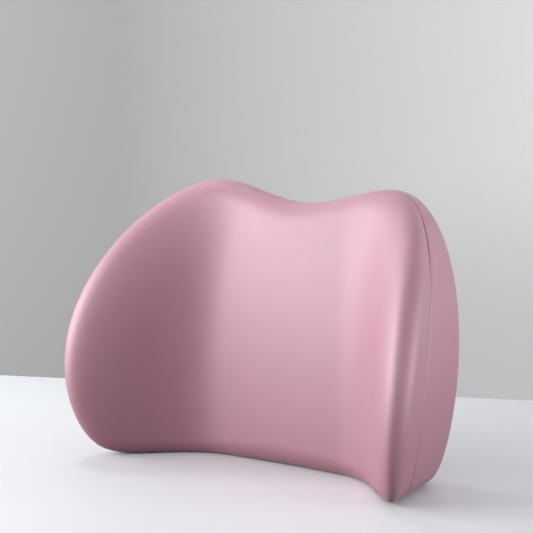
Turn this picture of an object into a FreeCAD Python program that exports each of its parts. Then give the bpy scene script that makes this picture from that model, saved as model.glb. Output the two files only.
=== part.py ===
import FreeCAD, Part
import math
import os
import re
import Sketcher
from FreeCAD import Vector

# Lumbar support cushion: a moulded foam core with two forward wings, a sewn liner, a knitted cover in
# two panels joined by a side seam, a zip in the back panel and an elastic chair strap with a buckle.
# Millimetres. X to the right, the hollow front faces -Y, Z up. The cushion stands on Z = 0 and leans
# back a little. What lies on the back panel is drawn upright, then tilted by the lean.

# alias, value: every size that can be set by itself
SIZES = """
hump_reach 115.5
hump_height 297
dip_height 278
shoulder_reach 173.5
shoulder_height 247
side_reach 195
side_height 111.5
corner_reach 177
corner_height 15.5
foot_reach 156.5
heart_height 140
panel_depth 49
wing_low 87
wing_middle 99.5
wing_top 15
hollow_low -7
hollow_middle 0
hollow_top -19.5
wing_nose_reach 183.5
wing_nose_drift 9.5
wing_nose_height 77.5
wing_nose_span 178.2
wing_slope_length 121
front_round 22.5
back_round 21
seam_share 0.26
side_flare 27
lean_angle 3.75
foot_press 1
cover_thick 1.6
zip_room 2.2
liner_thick 0.6
liner_gap 0.3
fit_gap 0.3
zip_height 66
zip_reach 140
zip_slot_half 4.6
zip_tape_half 14
zip_tape_thick 0.6
zip_tape_edge 1.2
coil_half 2.6
coil_thick 1.7
coil_edge 0.1
slider_length 11
slider_plate 0.9
slider_flange 1.1
wedge_length 2.6
wedge_half 0.8
bail_length 8
bail_rise 2.6
bail_bar 0.8
bail_half 0.8
pull_length 24
pull_half 3.6
pull_thick 1.1
pull_window 5.2
pull_bar_half 0.5
pull_corner 1.6
stop_length 3
stop_thick 1.4
stop_half 2.4
strap_height 168
strap_half 12.5
strap_thick 1.5
patch_reach 158
patch_length 34
patch_half 17
patch_thick 1.8
stitch_inset 3.5
stitch_bar 1.2
stitch_thick 0.4
stitch_length 24
adjuster_place 70
adjuster_length 20
adjuster_rim 3.2
adjuster_plate 1.2
adjuster_bar 3.4
adjuster_bar_thick 1.8
adjuster_corner 2.2
socket_bar_place 32
strap_bar 1.5
socket_length 35
socket_half 17.2
socket_thick 8.4
socket_wall 1.5
socket_side 3.4
socket_rail 4
window_start 10
window_length 13
mouth_depth 29
plug_base 13
plug_bar_place 26
plug_arm_thick 3
plug_barb 3.3
plug_guide_half 2.6
plug_inset 0.9
strap_tail 21
buckle_corner 2.2
buckle_edge 1
slider_corner 1.5
label_place 96
label_drop 18
label_width 30
label_height 20
label_thick 0.4
"""

doc = FreeCAD.newDocument("lumbar_cushion")
sheet = doc.addObject("Spreadsheet::Sheet", "sizes")


def keep(row, alias, number):
    """One named size in the sheet."""
    sheet.set(f"A{row}", alias)
    sheet.set(f"B{row}", number)
    sheet.setAlias(f"B{row}", alias)


SIZE_LINES = SIZES.strip().split("\n")
for row, line in enumerate(SIZE_LINES, start=1):
    keep(row, *line.split())
doc.recompute()


def bound(words):
    """An expression in aliases, with each alias pointed at the sheet."""
    return re.sub(r"[a-z][a-z_]+", lambda found: "sizes." + found.group(), words)


def size(words):
    """The present value of such an expression."""
    return float(sheet.evalExpression(bound(words)))


# ---- the moulded form: rings from the middle of the front to the middle of the back ----

AROUND = 72
FRONT_RINGS = 14
EDGE_RINGS = 6
WALL_RINGS = 3
BACK_RINGS = 4


def outline_ring():
    """Front view of the cushion: a smooth closed curve through named points, mirrored about X = 0."""
    half = [
        (0.0, sheet.dip_height),
        (sheet.hump_reach, sheet.hump_height),
        (sheet.shoulder_reach, sheet.shoulder_height),
        (sheet.side_reach, sheet.side_height),
        (sheet.corner_reach, sheet.corner_height),
        (sheet.foot_reach, 0.0),
        (0.0, 0.0),
    ]
    points = half + [(-x, z) for x, z in half[-2:0:-1]]
    # Three laps are drawn, and the middle one closes on itself smoothly.
    laps = points * 3 + points[:1]
    knots = [0.0]
    for (x0, z0), (x1, z1) in zip(laps, laps[1:]):
        knots.append(knots[-1] + math.sqrt(math.hypot(x1 - x0, z1 - z0)))
    curve = Part.BSplineCurve()
    curve.interpolate(Points=[Vector(x, 0, z) for x, z in laps], Parameters=knots)
    lap = len(points)
    ring = curve.discretize(Number=AROUND + 1, First=knots[lap], Last=knots[2 * lap])[:-1]
    return [(p.x, max(p.z, -sheet.foot_press)) for p in ring]


def through(low, middle, top, z):
    """A parabola in height through its values at the foot, at mid height and at the humps."""
    t = z / sheet.hump_height
    return low * (1 - t) * (1 - 2 * t) + 4 * middle * t * (1 - t) + top * t * (2 * t - 1)


def front_face(x, z):
    """Depth of the front at (x, z): the hollow in the middle, and a wing on each side."""
    rise = max(0.0, z - sheet.wing_nose_height) / sheet.wing_nose_span
    nose = sheet.wing_nose_reach - sheet.wing_nose_drift * rise * rise
    inward = min(max((nose - abs(x)) / sheet.wing_slope_length, 0.0), 1.0)
    wing = (1 - inward) ** 3 * (1 + 3 * inward)
    out = wing * through(sheet.wing_low, sheet.wing_middle, sheet.wing_top, z)
    return -out - through(sheet.hollow_low, sheet.hollow_middle, sheet.hollow_top, z)


def placed(x, y, z):
    """A point of the form, widened towards the front and leaned back."""
    reach = sheet.side_reach
    forward = (sheet.panel_depth - y) / (sheet.wing_middle + sheet.panel_depth)
    lean = math.tan(math.radians(sheet.lean_angle)) * (z - sheet.hump_height / 2)
    return Vector(x * (1 + sheet.side_flare / reach * forward), y + lean, z)


def form_rings():
    """All rings of points, and the number of the ring that the side seam follows."""
    outline = outline_ring()
    heart = (0.0, sheet.heart_height)
    rounds = sheet.front_round + sheet.back_round

    def inset(point, by, share=1.0):
        away = math.hypot(point[0] - heart[0], point[1] - heart[1])
        k = (1 - by / away) * share
        return heart[0] + (point[0] - heart[0]) * k, heart[1] + (point[1] - heart[1]) * k

    def softness(point):
        return 1 - math.exp(-(sheet.panel_depth - front_face(*point)) / rounds)

    def wall(point, share):
        start = front_face(*point) + sheet.front_round * softness(point)
        end = sheet.panel_depth - sheet.back_round * softness(point)
        return start + (end - start) * share

    rings = []
    for i in range(FRONT_RINGS):
        flat = [inset(p, sheet.front_round, i / FRONT_RINGS) for p in outline]
        rings.append([placed(x, front_face(x, z), z) for x, z in flat])
    for i in range(EDGE_RINGS):
        turn = math.pi / 2 * i / EDGE_RINGS
        ring = []
        for p in outline:
            x, z = inset(p, sheet.front_round * (1 - math.sin(turn)))
            drop = sheet.front_round * softness(p) * (1 - math.cos(turn))
            ring.append(placed(x, front_face(x, z) + drop, z))
        rings.append(ring)
    rings.append([placed(p[0], wall(p, 0.0), p[1]) for p in outline])
    seam = len(rings)
    for i in range(WALL_RINGS):
        share = sheet.seam_share + (1 - sheet.seam_share) * i / WALL_RINGS
        rings.append([placed(p[0], wall(p, share), p[1]) for p in outline])
    for i in range(EDGE_RINGS + 1):
        turn = math.pi / 2 * (1 - i / EDGE_RINGS)
        ring = []
        for p in outline:
            x, z = inset(p, sheet.back_round * (1 - math.sin(turn)))
            rise = sheet.back_round * softness(p) * (1 - math.cos(turn))
            ring.append(placed(x, sheet.panel_depth - rise, z))
        rings.append(ring)
    for i in range(1, BACK_RINGS + 1):
        flat = [inset(p, sheet.back_round, 1 - i / BACK_RINGS) for p in outline]
        rings.append([placed(x, sheet.panel_depth, z) for x, z in flat])
    return rings, seam


def shrunk(rings, by):
    """The rings moved inwards by a distance along the form's own normals."""
    moved = []
    last = len(rings) - 1
    for j, ring in enumerate(rings):
        before = rings[max(j - 1, 0)]
        after = rings[min(j + 1, last)]
        row = []
        for i, point in enumerate(ring):
            along = ring[(i + 1) % AROUND] - ring[i - 1]
            outward = along.cross(after[i] - before[i])
            if j in (0, last):
                outward = Vector(0, -1 if j == 0 else 1, 0)
            row.append(point - outward.normalize() * by)
        moved.append(row)
    return moved


def skin(rings):
    """A smooth face over the rings, closed around, with cubic spans both ways."""
    across = len(rings)
    face = Part.BSplineSurface()
    poles = [[ring[i] for ring in rings] for i in range(AROUND)]
    around_knots = [float(k) for k in range(AROUND + 1)]
    across_knots = [float(k) for k in range(across - 2)]
    across_marks = [4] + [1] * (across - 4) + [4]
    face.buildFromPolesMultsKnots(
        poles, [1] * (AROUND + 1), across_marks, around_knots, across_knots, True, False, 3, 3
    )
    return face.toShape()


def whole(rings, by):
    """The closed form, shrunk by a distance."""
    return Part.Solid(Part.Shell([skin(shrunk(rings, by))]))


def rim(face):
    """The open edge of a bowl-shaped skin, its only closed edge with a length."""
    return max((edge for edge in face.Edges if edge.isClosed()), key=lambda edge: edge.Length)


def bowl(rings, first, last):
    """One cover panel over the rings from first to last: outside, inside, and the raw edge at the seam."""
    outer = skin(rings[first:last])
    inner = skin(shrunk(rings, sheet.cover_thick)[first:last])
    shell = Part.makeShell([outer, inner, Part.makeRuledSurface(rim(outer), rim(inner))])
    shell.sewShape()
    solid = Part.Solid(shell)
    if solid.Volume < 0:
        solid.reverse()
    return solid


def below_floor():
    """All space under the surface that the cushion stands on."""
    far = 4 * sheet.side_reach
    return Part.makeBox(far, far, far, Vector(-far / 2, -far / 2, -far))


def tilted(shape):
    """A shape drawn upright on the back panel, leaned with it."""
    shape.Placement = PANEL.multiply(shape.Placement)
    return shape


def formed(label, shape):
    """A sub-part whose free form no sketch can hold."""
    feature = doc.addObject("Part::Feature", label)
    feature.Label = label
    feature.Shape = shape
    NODES.append(feature)


# ---- sub-parts drawn with sketches, upright on the back panel: X along it, Y out of it, Z up it ----

ON_PANEL = "placement(vector(0; sizes.panel_foot; 0); rotation(vector(1; 0; 0); -sizes.lean_angle))"
NODES = []


def piece(label):
    """A new body that lies on the leaning back panel."""
    body = doc.addObject("PartDesign::Body", label)
    body.Label = label
    body.setExpression("Placement", ON_PANEL)
    NODES.append(body)
    return body


def tie(sketch, element, end, x, y):
    """Hold one point of a sketch at two bound distances from its origin."""
    for axis, words in (("DistanceX", x), ("DistanceY", y)):
        row = sketch.addConstraint(Sketcher.Constraint(axis, element, end, size(words)))
        sketch.setExpression(f"Constraints[{row}]", bound(words))


def draw_outline(sketch, points):
    """A closed outline of straight lines; a third item "turn" makes the next side a half round."""
    first = sketch.GeometryCount
    places = [Vector(size(p[0]), size(p[1]), 0) for p in points]
    count = len(points)
    for i, point in enumerate(points):
        start = places[i]
        end = places[(i + 1) % count]
        if len(point) == 3:
            middle = (start + end) * 0.5
            bulge = Vector(end.y - start.y, start.x - end.x, 0) * (0.5 * point[2])
            sketch.addGeometry(Part.Arc(start, middle + bulge, end), False)
        else:
            sketch.addGeometry(Part.LineSegment(start, end), False)
    for i, point in enumerate(points):
        start_end = arc_ends(sketch, first + i, places[i])
        before = first + (i - 1) % count
        before_end = 3 - arc_ends(sketch, before, places[i - 1])
        sketch.addConstraint(Sketcher.Constraint("Coincident", before, before_end, first + i, start_end))
        if len(point) == 3:
            row = sketch.addConstraint(Sketcher.Constraint("DistanceX", first + i, 3, size(point[0])))
            sketch.setExpression(f"Constraints[{row}]", bound(point[0]))
    for i, point in enumerate(points):
        tie(sketch, first + i, arc_ends(sketch, first + i, places[i]), point[0], point[1])


def arc_ends(sketch, element, start):
    """Which end of a sketch element, 1 or 2, lies at a point."""
    return 1 if (sketch.getPoint(element, 1) - start).Length < 1e-6 else 2


def draw_circle(sketch, x, y, radius):
    element = sketch.addGeometry(Part.Circle(Vector(size(x), size(y), 0), Vector(0, 0, 1), size(radius)))
    tie(sketch, element, 3, x, y)
    row = sketch.addConstraint(Sketcher.Constraint("Radius", element, size(radius)))
    sketch.setExpression(f"Constraints[{row}]", bound(radius))


def box_outline(left, right, low, high):
    return [(left, low), (right, low), (right, high), (left, high)]


def drawing(body, plane, lift, outlines=(), circles=()):
    """A sketch on one of the body's own origin planes, lifted off it along +Y, +Z or +X."""
    role = {"panel": "XZ_Plane", "level": "XY_Plane", "cross": "YZ_Plane"}[plane]
    sketch = body.newObject("Sketcher::SketchObject", f"{body.Label}_sketch")
    origin = [item for item in body.Origin.OriginFeatures if item.Role == role][0]
    sketch.AttachmentSupport = [(origin, "")]
    sketch.MapMode = "FlatFace"
    away = f"-({bound(lift)})" if plane == "panel" else bound(lift)
    sketch.setExpression("AttachmentOffset.Base.z", away)
    for points in outlines:
        draw_outline(sketch, points)
    for circle in circles:
        draw_circle(sketch, *circle)
    doc.recompute()
    return sketch


def pad(body, plane, low, high, outlines=(), circles=()):
    """Material between two levels over a plane."""
    feature = body.newObject("PartDesign::Pad", f"{body.Label}_pad")
    feature.Profile = drawing(body, plane, low, outlines, circles)
    feature.Reversed = plane == "panel"
    feature.setExpression("Length", bound(f"({high}) - ({low})"))
    doc.recompute()
    return feature


def pocket(body, plane, low, high, outlines):
    """Material taken away between two levels over a plane."""
    before = body.Shape.Volume
    feature = body.newObject("PartDesign::Pocket", f"{body.Label}_pocket")
    feature.Profile = drawing(body, plane, low, outlines)
    feature.Reversed = plane != "panel"
    feature.setExpression("Length", bound(f"({high}) - ({low})"))
    doc.recompute()
    if body.Shape.Volume > before - 0.01:
        raise RuntimeError(f"a pocket of {body.Label} cuts nothing")
    return feature


def soften(body, radius, along, chosen=None):
    """Round the edges of the body's last feature that run along one axis, or those that a test picks."""
    base = body.Tip
    names = []
    for number, edge in enumerate(base.Shape.Edges, start=1):
        middle = edge.valueAt((edge.FirstParameter + edge.LastParameter) / 2)
        ends = [vertex.Point for vertex in edge.Vertexes]
        straight = len(ends) == 2 and abs((ends[1] - ends[0]).normalize().dot(along)) > 0.999
        if straight and (chosen is None or chosen(middle)):
            names.append(f"Edge{number}")
    feature = body.newObject("PartDesign::Fillet", f"{body.Label}_fillet")
    feature.Base = (base, names)
    feature.setExpression("Radius", bound(radius))
    doc.recompute()


# levels over the back panel, outwards from its face
TAPE_BACK = "-cover_thick - zip_tape_thick"
TAPE_FACE = "-cover_thick"
STOP_TOP = "stop_thick - cover_thick"
COIL_TOP = "coil_thick - cover_thick"
SLIDER_FACE = "coil_thick - cover_thick + fit_gap + slider_plate"
SLIDER_BACK = "-cover_thick - zip_tape_thick - fit_gap"
PULL_LEVEL = "coil_thick - cover_thick + fit_gap + slider_plate + bail_rise / 2"
BAND_FACE = "patch_thick + strap_thick"
BUCKLE_LEVEL = "patch_thick + strap_thick + fit_gap + strap_bar"
BAND_RETURN = f"{BUCKLE_LEVEL} + strap_bar + fit_gap"
BAND_TOP = f"{BAND_RETURN} + strap_thick"
# places along the panel
SLIDER_MIDDLE = "zip_reach - slider_length / 2"
COIL_END = "zip_reach - wedge_length - 2 * fit_gap"
SOCKET_START = "strap_bar + strap_thick + 2 * fit_gap - socket_bar_place"
SOCKET_MOUTH = "strap_bar + strap_thick + 2 * fit_gap - socket_bar_place + socket_length"
PATCH_END = "patch_reach - patch_length"
# directions on the panel
ALONG = Vector(1, 0, 0)
OUTWARDS = Vector(0, 1, 0)


def zip_tape(label, side):
    """Woven tape sewn behind one lip of the slot."""
    near = f"zip_height + {side} * zip_tape_edge"
    far = f"zip_height + {side} * zip_tape_half"
    reach = "zip_reach + 2 * stop_length"
    pad(piece(label), "panel", TAPE_BACK, TAPE_FACE, [box_outline(f"-({reach})", reach, near, far)])


def zip_coil(label, side):
    """One row of the nylon coil, sewn along the tape's inner edge."""
    near = f"zip_height + {side} * coil_edge"
    far = f"zip_height + {side} * coil_half"
    pad(piece(label), "panel", TAPE_FACE, COIL_TOP, [box_outline("-zip_reach", COIL_END, near, far)])


def zip_stop(label, side, low, high):
    """A metal crimp that ends the slider's travel."""
    start = f"{side} * (zip_reach + 2 * fit_gap)"
    end = f"{side} * (zip_reach + 2 * fit_gap + stop_length)"
    shape = box_outline(start, end, f"zip_height + {low}", f"zip_height + {high}")
    pad(piece(label), "panel", TAPE_FACE, STOP_TOP, [shape])


def zip_slider():
    """Two plates joined by a wedge, with a flange along each edge and a bail for the pull on top."""
    body = piece("zip_slider")
    start = f"{SLIDER_MIDDLE} - slider_length / 2"
    end = "zip_reach"
    edge = "coil_half + fit_gap + slider_flange"
    plate = box_outline(start, end, f"zip_height - ({edge})", f"zip_height + {edge}")
    pad(body, "panel", f"{COIL_TOP} + fit_gap", SLIDER_FACE, [plate])
    soften(body, "slider_corner", OUTWARDS)
    inner = "coil_half + fit_gap"
    left = f"{start} + slider_corner"
    right = f"{end} - slider_corner"
    flanges = [
        box_outline(left, right, f"zip_height + {inner}", f"zip_height + {edge}"),
        box_outline(left, right, f"zip_height - ({edge})", f"zip_height - ({inner})"),
    ]
    pad(body, "panel", f"{TAPE_FACE} + fit_gap", SLIDER_FACE, flanges)
    wedge = box_outline("zip_reach - wedge_length", end, "zip_height - wedge_half", "zip_height + wedge_half")
    pad(body, "panel", SLIDER_BACK, SLIDER_FACE, [wedge])
    pad(body, "panel", f"{SLIDER_BACK} - slider_plate", SLIDER_BACK, [plate])
    left = f"{SLIDER_MIDDLE} - bail_length / 2"
    right = f"{SLIDER_MIDDLE} + bail_length / 2"
    crown = f"{SLIDER_FACE} + bail_rise"
    bail = [
        (left, SLIDER_FACE), (left, f"{crown} + bail_bar"), (right, f"{crown} + bail_bar"),
        (right, SLIDER_FACE), (f"{right} - bail_bar", SLIDER_FACE), (f"{right} - bail_bar", crown),
        (f"{left} + bail_bar", crown), (f"{left} + bail_bar", SLIDER_FACE),
    ]
    pad(body, "level", "zip_height - bail_half", "zip_height + bail_half", [bail])


def zip_pull():
    """A flat tab with a window; the round bar at the window's end turns inside the slider's bail."""
    body = piece("zip_pull")
    low = f"{PULL_LEVEL} - pull_thick / 2"
    high = f"{PULL_LEVEL} + pull_thick / 2"
    far = f"{SLIDER_MIDDLE} - pull_length"
    tab = box_outline(far, SLIDER_MIDDLE, "zip_height - pull_half", "zip_height + pull_half")
    pad(body, "panel", low, high, [tab])
    middle = size(f"{SLIDER_MIDDLE} - pull_length / 2")
    soften(body, "pull_corner", OUTWARDS, lambda place: place.x < middle)
    window = box_outline(
        f"{SLIDER_MIDDLE} - pull_window", f"{SLIDER_MIDDLE} + pull_bar_half",
        "zip_height - bail_half - 2 * fit_gap", "zip_height + bail_half + 2 * fit_gap",
    )
    pocket(body, "panel", low, high, [window])
    bar = (SLIDER_MIDDLE, PULL_LEVEL, "pull_bar_half")
    pad(body, "level", "zip_height - pull_half", "zip_height + pull_half", circles=[bar])


def strap_patch(label, side):
    """Folded cover cloth sewn to the back panel under a webbing's end."""
    shape = box_outline(
        f"{side} * patch_reach", f"{side} * ({PATCH_END})",
        "strap_height - patch_half", "strap_height + patch_half",
    )
    pad(piece(label), "panel", "0 * patch_thick", "patch_thick", [shape])


def strap_webbing_left():
    """Elastic webbing from the patch, round the socket's bar and back to the adjuster's bar."""
    start = "stitch_inset - patch_reach"
    bar = "-socket_bar_place"
    back = "adjuster_bar / 2 + fit_gap - adjuster_place"
    profile = [
        (start, "patch_thick"), (bar, "patch_thick", 1), (bar, BAND_TOP),
        (back, f"{BAND_FACE} + fit_gap + strap_thick"), (back, f"{BAND_FACE} + fit_gap"),
        (bar, BAND_RETURN, -1), (bar, BAND_FACE), (start, BAND_FACE),
    ]
    low = "strap_height - strap_half"
    pad(piece("strap_webbing_left"), "level", low, "strap_height + strap_half", [profile])


def strap_webbing_right():
    """Elastic webbing from the patch, round the plug's bar and sewn back on itself."""
    start = "patch_reach - stitch_inset"
    bar = "plug_bar_place"
    tail = "plug_bar_place + strap_tail"
    outer = [
        (start, "patch_thick"), (start, BAND_FACE), (tail, BAND_FACE), (tail, f"{BAND_FACE} + strap_thick"),
        (bar, BAND_TOP, 1), (bar, "patch_thick"),
    ]
    inner = [
        (bar, BAND_FACE), (f"{tail} - 2 * strap_thick", BAND_FACE),
        (bar, BAND_RETURN, 1),
    ]
    low = "strap_height - strap_half"
    pad(piece("strap_webbing_right"), "level", low, "strap_height + strap_half", [outer, inner])


def strap_stitch(label, side):
    """The sewn box and cross that holds a webbing's end to its patch."""
    body = piece(label)
    outer = f"{side} * (patch_reach - 2 * stitch_inset)"
    inner = f"{side} * (patch_reach - 2 * stitch_inset - stitch_length)"
    low = "strap_height - strap_half + stitch_inset"
    high = "strap_height + strap_half - stitch_inset"
    box = box_outline(outer, inner, low, high)
    hole = box_outline(
        f"{outer} - {side} * stitch_bar", f"{inner} + {side} * stitch_bar",
        f"{low} + stitch_bar", f"{high} - stitch_bar",
    )
    top = f"{BAND_FACE} + stitch_thick"
    pad(body, "panel", BAND_FACE, top, [box, hole])
    across = f"{side} * stitch_bar"
    for first, last in ((low, high), (high, low)):
        cross = [(outer, first), (f"{outer} - {across}", first), (inner, last), (f"{inner} + {across}", last)]
        pad(body, "panel", BAND_FACE, top, [cross])


def strap_adjuster():
    """A slide with a raised middle bar: the webbing runs over its ends and under that bar."""
    body = piece("strap_adjuster")
    left = "-adjuster_place - adjuster_length / 2"
    right = "adjuster_length / 2 - adjuster_place"
    inner = "strap_half + fit_gap"
    outer = "strap_half + fit_gap + adjuster_rim"
    frame = box_outline(left, right, f"strap_height - ({outer})", f"strap_height + {outer}")
    window = box_outline(
        f"{left} + adjuster_rim", f"{right} - adjuster_rim",
        f"strap_height - ({inner})", f"strap_height + {inner}",
    )
    pad(body, "panel", "fit_gap", "fit_gap + adjuster_plate", [frame])
    soften(body, "adjuster_corner", OUTWARDS)
    pocket(body, "panel", "fit_gap", "fit_gap + adjuster_plate", [window])
    bar = ("-adjuster_place - adjuster_bar / 2", "adjuster_bar / 2 - adjuster_place")
    top = f"{BAND_FACE} + fit_gap + adjuster_bar_thick"
    posts = [
        box_outline(*bar, f"strap_height + {inner}", f"strap_height + {outer}"),
        box_outline(*bar, f"strap_height - ({outer})", f"strap_height - ({inner})"),
    ]
    pad(body, "panel", "fit_gap", top, posts)
    across = box_outline(*bar, f"strap_height - ({outer})", f"strap_height + {outer}")
    pad(body, "panel", f"{BAND_FACE} + fit_gap", top, [across])


def strap_loop(body, bar_place, from_place, to_place, outer):
    """The two rails and the round bar that a webbing goes round."""
    inner = "strap_half + 2 * fit_gap"
    low = f"{BUCKLE_LEVEL} - socket_rail / 2"
    high = f"{BUCKLE_LEVEL} + socket_rail / 2"
    rails = [
        box_outline(from_place, to_place, f"strap_height + {inner}", f"strap_height + {outer}"),
        box_outline(from_place, to_place, f"strap_height - ({outer})", f"strap_height - ({inner})"),
    ]
    pad(body, "panel", low, high, rails)
    pad(
        body, "level", f"strap_height - ({inner})", f"strap_height + {inner}",
        circles=[(bar_place, BUCKLE_LEVEL, "strap_bar")],
    )


def buckle_socket():
    """A flat box open at its mouth, with a window each side for the plug's barbs."""
    body = piece("buckle_socket")
    edge = "socket_half"
    shell = box_outline(SOCKET_START, SOCKET_MOUTH, f"strap_height - {edge}", f"strap_height + {edge}")
    half = "socket_thick / 2"
    pad(body, "panel", f"{BUCKLE_LEVEL} - {half}", f"{BUCKLE_LEVEL} + {half}", [shell])
    middle = size(f"{SOCKET_MOUTH} - socket_length / 2")
    soften(body, "buckle_corner", OUTWARDS, lambda place: place.x > middle)
    soften(body, "buckle_edge", ALONG)
    room = "(socket_thick / 2 - socket_wall)"
    hollow = box_outline(
        f"{SOCKET_MOUTH} - mouth_depth", SOCKET_MOUTH,
        "strap_height - socket_half + socket_side", "strap_height + socket_half - socket_side",
    )
    pocket(body, "panel", f"{BUCKLE_LEVEL} - {room}", f"{BUCKLE_LEVEL} + {room}", [hollow])
    windows = box_outline(
        f"{SOCKET_MOUTH} - window_start - window_length", f"{SOCKET_MOUTH} - window_start",
        "strap_height - socket_half", "strap_height + socket_half",
    )
    pocket(body, "panel", f"{BUCKLE_LEVEL} - {room}", f"{BUCKLE_LEVEL} + {room}", [windows])
    strap_loop(body, "-socket_bar_place", "-socket_bar_place - 2 * strap_bar", SOCKET_START, "socket_half")


def buckle_plug():
    """A grip block with two sprung arms that end in barbs, a guide between them, and a strap bar."""
    body = piece("buckle_plug")
    start = f"{SOCKET_MOUTH} + fit_gap"
    end = f"{SOCKET_MOUTH} + fit_gap + plug_base"
    half = "socket_thick / 2"
    edge = "socket_half - plug_inset"
    grip = box_outline(start, end, f"strap_height - ({edge})", f"strap_height + {edge}")
    pad(body, "panel", f"{BUCKLE_LEVEL} - {half}", f"{BUCKLE_LEVEL} + {half}", [grip])
    soften(body, "buckle_edge", ALONG)
    thin = "(socket_thick / 2 - socket_wall - fit_gap)"
    tip = f"{SOCKET_MOUTH} - window_start - window_length + fit_gap"
    shoulder = f"{SOCKET_MOUTH} - window_start - fit_gap"
    arm = "(socket_half - socket_side - 2 * fit_gap - plug_barb / 2)"
    arms = []
    for sign in ("+", "-"):
        inside = f"strap_height {sign} ({arm} - plug_arm_thick)"
        outside = f"strap_height {sign} {arm}"
        barb = f"strap_height {sign} (socket_half - fit_gap)"
        arms.append([
            (start, inside), (start, outside), (shoulder, outside),
            (shoulder, barb), (tip, outside), (tip, inside),
        ])
    guide = box_outline(tip, start, "strap_height - plug_guide_half", "strap_height + plug_guide_half")
    pad(body, "panel", f"{BUCKLE_LEVEL} - {thin}", f"{BUCKLE_LEVEL} + {thin}", arms + [guide])
    strap_loop(body, "plug_bar_place", end, "plug_bar_place + 2 * strap_bar", edge)


def care_label():
    """A blank woven label that hangs below the zip, sewn on by its top edge."""
    top = "zip_height - label_drop"
    shape = box_outline("-label_place", "label_width - label_place", f"{top} - label_height", top)
    pad(piece("care_label"), "panel", "fit_gap", "fit_gap + label_thick", [shape])


def centred(rings):
    """The rings moved along Y until the object's box, buckle included, is centred on the origin."""
    foot = sheet.panel_depth - math.tan(math.radians(sheet.lean_angle)) * sheet.hump_height / 2
    lean = math.radians(sheet.lean_angle)
    out = size(f"{BUCKLE_LEVEL} + socket_thick / 2")
    buckle = foot + out * math.cos(lean) + (sheet.strap_height + sheet.socket_half) * math.sin(lean)
    front = min(point.y for ring in rings for point in ring)
    back = max([point.y for ring in rings for point in ring] + [buckle])
    shift = -(front + back) / 2
    return [[point + Vector(0, shift, 0) for point in ring] for ring in rings], foot + shift


plain_rings, SEAM = form_rings()
RINGS, panel_foot = centred(plain_rings)
keep(len(SIZE_LINES) + 1, "panel_foot", str(panel_foot))
doc.recompute()
PANEL = FreeCAD.Placement(Vector(0, panel_foot, 0), FreeCAD.Rotation(Vector(1, 0, 0), -sheet.lean_angle))


def soft_parts():
    """Foam, liner and the two cover panels, one inside the other."""
    room = sheet.cover_thick + sheet.zip_room
    formed("foam_core", whole(RINGS, room + sheet.liner_thick + sheet.liner_gap))
    formed("inner_liner", whole(RINGS, room).cut(whole(RINGS, room + sheet.liner_thick)))
    formed("front_cover", bowl(RINGS, 0, SEAM + 1).cut(below_floor()))
    slot = Part.makeBox(
        2 * (sheet.zip_reach + 2 * sheet.stop_length), 4 * sheet.cover_thick, 2 * sheet.zip_slot_half,
        Vector(-sheet.zip_reach - 2 * sheet.stop_length, -2 * sheet.cover_thick,
               sheet.zip_height - sheet.zip_slot_half),
    )
    formed("back_cover", bowl(RINGS, SEAM, len(RINGS)).cut(below_floor()).cut(tilted(slot)))


soft_parts()
zip_tape("zip_tape_upper", "1")
zip_tape("zip_tape_lower", "-1")
zip_coil("zip_coil_upper", "1")
zip_coil("zip_coil_lower", "-1")
zip_slider()
zip_pull()
zip_stop("zip_top_stop_upper", "1", "coil_edge", "stop_half")
zip_stop("zip_top_stop_lower", "1", "-stop_half", "-coil_edge")
zip_stop("zip_bottom_stop", "-1", "-stop_half", "stop_half")
strap_patch("strap_patch_left", "-1")
strap_patch("strap_patch_right", "1")
strap_webbing_left()
strap_webbing_right()
strap_stitch("strap_stitch_left", "-1")
strap_stitch("strap_stitch_right", "1")
strap_adjuster()
buckle_socket()
buckle_plug()
care_label()
doc.recompute()

for item in doc.Objects:
    if "Invalid" in item.State or "Error" in item.State:
        raise RuntimeError(f"{item.Label} failed: {item.State}")
for node in NODES:
    if node.Shape.isNull() or not node.Shape.isValid() or node.Shape.Volume <= 0:
        raise RuntimeError(f"{node.Label} has no valid solid")

os.makedirs("parts", exist_ok=True)
for node in NODES:
    node.Shape.exportStep(f"parts/{node.Label}.step")
    box = node.Shape.BoundBox
    print(f"{node.Label}: {len(node.Shape.Solids)} solid, {node.Shape.Volume:.0f} mm3, "
          f"{box.XLength:.1f} x {box.YLength:.1f} x {box.ZLength:.1f}")
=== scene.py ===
import math

import bmesh
import bpy
import numpy as np
from mathutils import Matrix, Vector


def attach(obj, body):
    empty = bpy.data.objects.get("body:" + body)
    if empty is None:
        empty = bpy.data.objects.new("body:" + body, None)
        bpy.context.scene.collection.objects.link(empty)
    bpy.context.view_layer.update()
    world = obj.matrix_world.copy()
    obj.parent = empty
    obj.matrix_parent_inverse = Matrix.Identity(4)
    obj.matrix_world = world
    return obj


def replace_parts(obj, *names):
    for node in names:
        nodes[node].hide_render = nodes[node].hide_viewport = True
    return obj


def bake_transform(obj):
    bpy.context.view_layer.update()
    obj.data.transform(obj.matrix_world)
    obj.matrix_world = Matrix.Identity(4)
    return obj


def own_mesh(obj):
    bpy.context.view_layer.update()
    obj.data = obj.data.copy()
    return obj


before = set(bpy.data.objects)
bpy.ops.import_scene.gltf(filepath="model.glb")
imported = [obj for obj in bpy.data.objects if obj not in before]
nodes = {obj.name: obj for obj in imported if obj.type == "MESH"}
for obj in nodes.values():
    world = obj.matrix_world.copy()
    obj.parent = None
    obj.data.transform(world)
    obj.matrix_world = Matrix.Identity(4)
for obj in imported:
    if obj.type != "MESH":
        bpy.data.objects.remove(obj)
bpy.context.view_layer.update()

# ---- Foam core ----
# One block of slow-recovery foam, moulded in one shot with a wing at each side and a hollow between
# them for the lower back. The mould leaves a thin closed skin, and every cover is cut to this form.

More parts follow.
